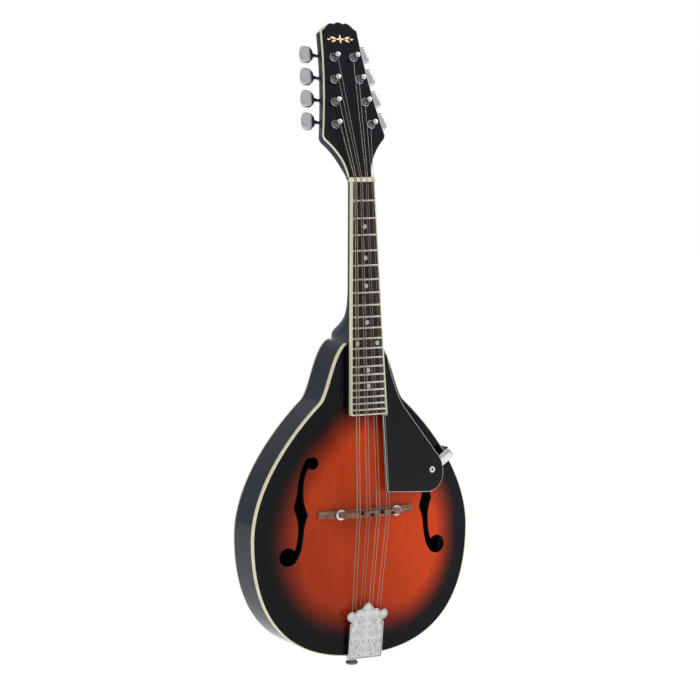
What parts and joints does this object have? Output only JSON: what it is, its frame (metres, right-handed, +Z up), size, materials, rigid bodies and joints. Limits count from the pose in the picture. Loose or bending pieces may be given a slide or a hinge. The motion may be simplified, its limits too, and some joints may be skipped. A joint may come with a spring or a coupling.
{
  "type": "mandolin",
  "caption": "Teardrop-bodied mandolin with paired strings, f-holes, floating bridge, slide-off tailpiece cover and geared tuners.",
  "frame": {"origin": "centre of the strap button's flat end face, midway through the depth of the body's rim", "axes": "+Z runs up the body and neck to the head, the soundboard faces -Y, and +X is the treble side"},
  "size_m": [0.2592, 0.0943, 0.6893],
  "materials": {
    "sunburst_top": "high-gloss clear coat over a red-orange burst that darkens to near black at the edge",
    "black_lacquer": "high-gloss blue-black lacquer on the sides, back, neck and head",
    "cream_binding": "cream celluloid, polished",
    "bone": "bone, satin",
    "rosewood": "open-pored rosewood, oiled satin, with nickel fret wire let in",
    "bare_spruce": "bare spruce",
    "black_plastic": "black plastic with a thin white bevelled edge, satin gloss",
    "chrome": "bright chrome plate; the tailpiece cover is stamped and lightly engraved",
    "nickel": "nickel-plated pressed steel, semi-bright",
    "plain_steel": "plain tinned steel wire",
    "wound_bronze": "bronze winding on a steel core"
  },
  "bodies": {
    "root": {"neck": "black_lacquer", "head_veneer": "black_lacquer", "head_binding": "cream_binding", "nut": "bone", "fretboard": "rosewood", "fretboard_binding": "cream_binding", "heel_cap": "black_plastic", "top_plate": "sunburst_top", "back_plate": "black_lacquer", "rim_bass_side": "black_lacquer", "rim_treble_side": "black_lacquer", "binding_top": "cream_binding", "binding_back": "cream_binding", "neck_block": "bare_spruce", "tail_block": "bare_spruce", "lining_top": "bare_spruce", "lining_back": "bare_spruce", "tone_bar_bass": "bare_spruce", "tone_bar_treble": "bare_spruce", "bridge_base": "rosewood", "bridge_stud_bass": "nickel", "bridge_stud_treble": "nickel", "tailpiece_base": "nickel", "tailpiece_screw_1": "nickel", "tailpiece_screw_2": "nickel", "strap_button": "nickel", "pickguard": "black_plastic", "pickguard_bracket": "chrome", "pickguard_screw": "nickel", "bracket_screw": "nickel", "tuner_plate_bass": "nickel", "tuner_plate_treble": "nickel", "string_g1": "wound_bronze", "string_g2": "wound_bronze", "string_d1": "wound_bronze", "string_d2": "wound_bronze", "string_a1": "plain_steel", "string_a2": "plain_steel", "string_e1": "plain_steel", "string_e2": "plain_steel"},
    "tuner_key_bass_1": {"tuner_key_bass_1": "chrome"},
    "tuner_key_bass_2": {"tuner_key_bass_2": "chrome"},
    "tuner_key_bass_3": {"tuner_key_bass_3": "chrome"},
    "tuner_key_bass_4": {"tuner_key_bass_4": "chrome"},
    "tuner_key_treble_1": {"tuner_key_treble_1": "chrome"},
    "tuner_key_treble_2": {"tuner_key_treble_2": "chrome"},
    "tuner_key_treble_3": {"tuner_key_treble_3": "chrome"},
    "tuner_key_treble_4": {"tuner_key_treble_4": "chrome"},
    "tuner_post_bass_1": {"tuner_post_bass_1": "chrome"},
    "tuner_post_bass_2": {"tuner_post_bass_2": "chrome"},
    "tuner_post_bass_3": {"tuner_post_bass_3": "chrome"},
    "tuner_post_bass_4": {"tuner_post_bass_4": "chrome"},
    "tuner_post_treble_1": {"tuner_post_treble_1": "chrome"},
    "tuner_post_treble_2": {"tuner_post_treble_2": "chrome"},
    "tuner_post_treble_3": {"tuner_post_treble_3": "chrome"},
    "tuner_post_treble_4": {"tuner_post_treble_4": "chrome"},
    "saddle": {"bridge_saddle": "rosewood"},
    "thumbwheel_bass": {"thumbwheel_bass": "chrome"},
    "thumbwheel_treble": {"thumbwheel_treble": "chrome"},
    "tailpiece_cover": {"tailpiece_cover": "chrome"}
  },
  "joints": [
    {"name": "key_bass_1_turn", "type": "hinge", "parent": "root", "child": "tuner_key_bass_1", "pos_m": [-0.02051, 0.01608, 0.58054], "axis": [-0.9921, 0.0371, 0.1199], "continuous": true},
    {"name": "key_bass_2_turn", "type": "hinge", "parent": "root", "child": "tuner_key_bass_2", "pos_m": [-0.01738, 0.02341, 0.60421], "axis": [-0.9921, 0.0371, 0.1199], "continuous": true},
    {"name": "key_bass_3_turn", "type": "hinge", "parent": "root", "child": "tuner_key_bass_3", "pos_m": [-0.01424, 0.03073, 0.62787], "axis": [-0.9921, 0.0371, 0.1199], "continuous": true},
    {"name": "key_bass_4_turn", "type": "hinge", "parent": "root", "child": "tuner_key_bass_4", "pos_m": [-0.01111, 0.03806, 0.65153], "axis": [-0.9921, 0.0371, 0.1199], "continuous": true},
    {"name": "key_treble_1_turn", "type": "hinge", "parent": "root", "child": "tuner_key_treble_1", "pos_m": [0.02051, 0.01608, 0.58054], "axis": [0.9921, 0.0371, 0.1199], "continuous": true},
    {"name": "key_treble_2_turn", "type": "hinge", "parent": "root", "child": "tuner_key_treble_2", "pos_m": [0.01738, 0.02341, 0.60421], "axis": [0.9921, 0.0371, 0.1199], "continuous": true},
    {"name": "key_treble_3_turn", "type": "hinge", "parent": "root", "child": "tuner_key_treble_3", "pos_m": [0.01424, 0.03073, 0.62787], "axis": [0.9921, 0.0371, 0.1199], "continuous": true},
    {"name": "key_treble_4_turn", "type": "hinge", "parent": "root", "child": "tuner_key_treble_4", "pos_m": [0.01111, 0.03806, 0.65153], "axis": [0.9921, 0.0371, 0.1199], "continuous": true},
    {"name": "post_bass_1_turn", "type": "hinge", "parent": "root", "child": "tuner_post_bass_1", "pos_m": [-0.0213, -0.00306, 0.57993], "axis": [0, -0.9553, 0.2957], "continuous": true},
    {"name": "post_bass_2_turn", "type": "hinge", "parent": "root", "child": "tuner_post_bass_2", "pos_m": [-0.01817, 0.00427, 0.60359], "axis": [0, -0.9553, 0.2957], "continuous": true},
    {"name": "post_bass_3_turn", "type": "hinge", "parent": "root", "child": "tuner_post_bass_3", "pos_m": [-0.01503, 0.01159, 0.62725], "axis": [0, -0.9553, 0.2957], "continuous": true},
    {"name": "post_bass_4_turn", "type": "hinge", "parent": "root", "child": "tuner_post_bass_4", "pos_m": [-0.0119, 0.01892, 0.65091], "axis": [0, -0.9553, 0.2957], "continuous": true},
    {"name": "post_treble_1_turn", "type": "hinge", "parent": "root", "child": "tuner_post_treble_1", "pos_m": [0.0213, -0.00306, 0.57993], "axis": [0, -0.9553, 0.2957], "continuous": true},
    {"name": "post_treble_2_turn", "type": "hinge", "parent": "root", "child": "tuner_post_treble_2", "pos_m": [0.01817, 0.00427, 0.60359], "axis": [0, -0.9553, 0.2957], "continuous": true},
    {"name": "post_treble_3_turn", "type": "hinge", "parent": "root", "child": "tuner_post_treble_3", "pos_m": [0.01503, 0.01159, 0.62725], "axis": [0, -0.9553, 0.2957], "continuous": true},
    {"name": "post_treble_4_turn", "type": "hinge", "parent": "root", "child": "tuner_post_treble_4", "pos_m": [0.0119, 0.01892, 0.65091], "axis": [0, -0.9553, 0.2957], "continuous": true},
    {"name": "saddle_height", "type": "slide", "parent": "root", "child": "saddle", "axis": [0, -1, 0], "range_m": [-0.001, 0]},
    {"name": "thumbwheel_bass_turn", "type": "hinge", "parent": "saddle", "child": "thumbwheel_bass", "pos_m": [-0.0334, -0.0381, 0.17058], "axis": [0, -1, 0], "range_deg": [-520, 5]},
    {"name": "thumbwheel_treble_turn", "type": "hinge", "parent": "saddle", "child": "thumbwheel_treble", "pos_m": [0.0334, -0.0381, 0.17058], "axis": [0, -1, 0], "range_deg": [-520, 5]},
    {"name": "cover_slide", "type": "slide", "parent": "root", "child": "tailpiece_cover", "axis": [0, 0.086, -0.9963], "range_m": [0, 0.06]}
  ],
  "couplings": [
    {"joint": "post_bass_1_turn", "follows": "key_bass_1_turn", "ratio": -0.071429},
    {"joint": "post_bass_2_turn", "follows": "key_bass_2_turn", "ratio": -0.071429},
    {"joint": "post_bass_3_turn", "follows": "key_bass_3_turn", "ratio": -0.071429},
    {"joint": "post_bass_4_turn", "follows": "key_bass_4_turn", "ratio": -0.071429},
    {"joint": "post_treble_1_turn", "follows": "key_treble_1_turn", "ratio": 0.071429},
    {"joint": "post_treble_2_turn", "follows": "key_treble_2_turn", "ratio": 0.071429},
    {"joint": "post_treble_3_turn", "follows": "key_treble_3_turn", "ratio": 0.071429},
    {"joint": "post_treble_4_turn", "follows": "key_treble_4_turn", "ratio": 0.071429},
    {"joint": "thumbwheel_bass_turn", "follows": "saddle_height", "rad_per_m": 8976},
    {"joint": "thumbwheel_treble_turn", "follows": "saddle_height", "rad_per_m": 8976}
  ]
}
